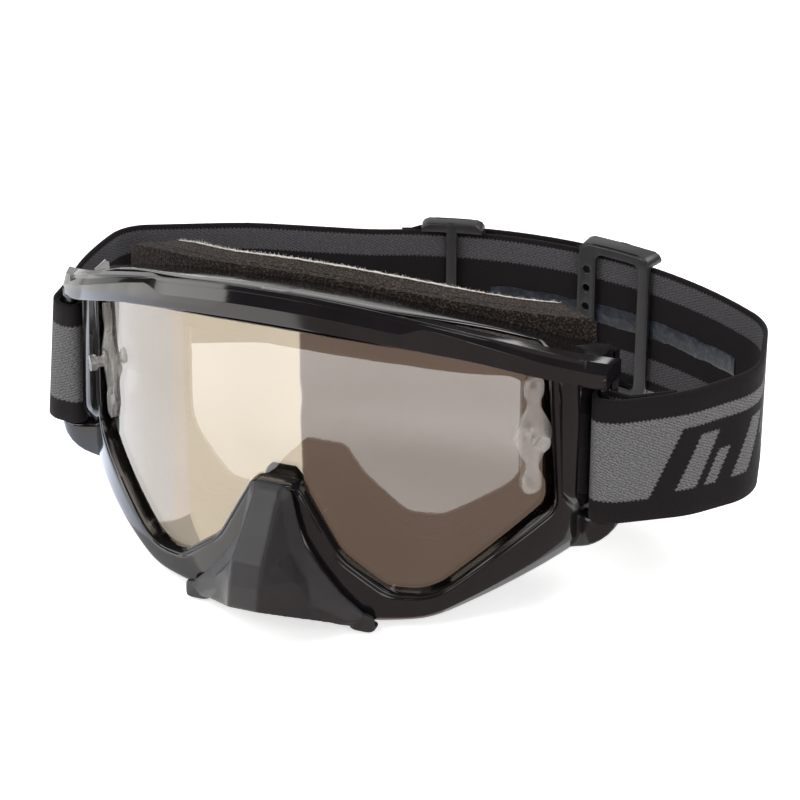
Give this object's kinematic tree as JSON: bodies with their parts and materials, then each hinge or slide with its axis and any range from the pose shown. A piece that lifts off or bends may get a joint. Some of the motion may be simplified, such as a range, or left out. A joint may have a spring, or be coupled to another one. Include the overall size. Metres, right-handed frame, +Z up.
{
  "type": "motocross goggles",
  "caption": "Motocross goggles: moulded frame with brow bar, curved lens, layered face foam, clip-on nose guard, tear-off posts and an elastic strap with slider.",
  "frame": {"origin": "the middle of the face seal where it meets the wearer's forehead, on the midline at eye level", "axes": "+X to the viewer's right seen from the front, -Y forwards out through the lens, +Y back towards the strap, +Z up"},
  "size_m": [0.2249, 0.1652, 0.109],
  "materials": {
    "frame_gloss": "gloss",
    "mirrored_lens": "mirror",
    "clear_plastic": "gloss",
    "guard_matte": "matte",
    "filter_foam": "matte",
    "foam_dark": "matte",
    "foam_soft": "matte",
    "fleece": "matte",
    "webbing": "matte",
    "buckle_plastic": "satin",
    "silicone_grip": "satin",
    "thread": "matte"
  },
  "bodies": {
    "frame": {"front_rim": "frame_gloss", "brow_bar": "frame_gloss", "frame_shell": "frame_gloss", "face_flange": "frame_gloss", "strap_mount_left": "frame_gloss", "strap_mount_right": "frame_gloss", "lens": "mirrored_lens", "post_left": "clear_plastic", "post_right": "clear_plastic", "post_clip_left": "clear_plastic", "post_clip_right": "clear_plastic", "upper_vent_foam_left": "filter_foam", "upper_vent_foam_right": "filter_foam", "lower_vent_foam_left": "filter_foam", "lower_vent_foam_right": "filter_foam", "foam_base": "foam_dark", "foam_cushion": "foam_soft", "fleece_lining": "fleece", "strap_left": "webbing", "strap_right": "webbing", "strap_return": "webbing", "strap_ring": "buckle_plastic", "grip_strip_left": "silicone_grip", "grip_strip_right": "silicone_grip", "bar_tacks": "thread"},
    "strap_slider": {"strap_slider": "buckle_plastic"},
    "nose_guard": {"nose_guard": "guard_matte"}
  },
  "joints": [
    {"name": "strap_adjust", "type": "hinge", "parent": "frame", "child": "strap_slider", "pos_m": [0.036, -0.036, 0], "axis": [0, 0, 1], "range_deg": [-12, 10], "deforming": ["strap_return"]},
    {"name": "guard_unclip", "type": "slide", "parent": "frame", "child": "nose_guard", "axis": [0, -1, 0], "range_m": [0, 0.012]}
  ]
}
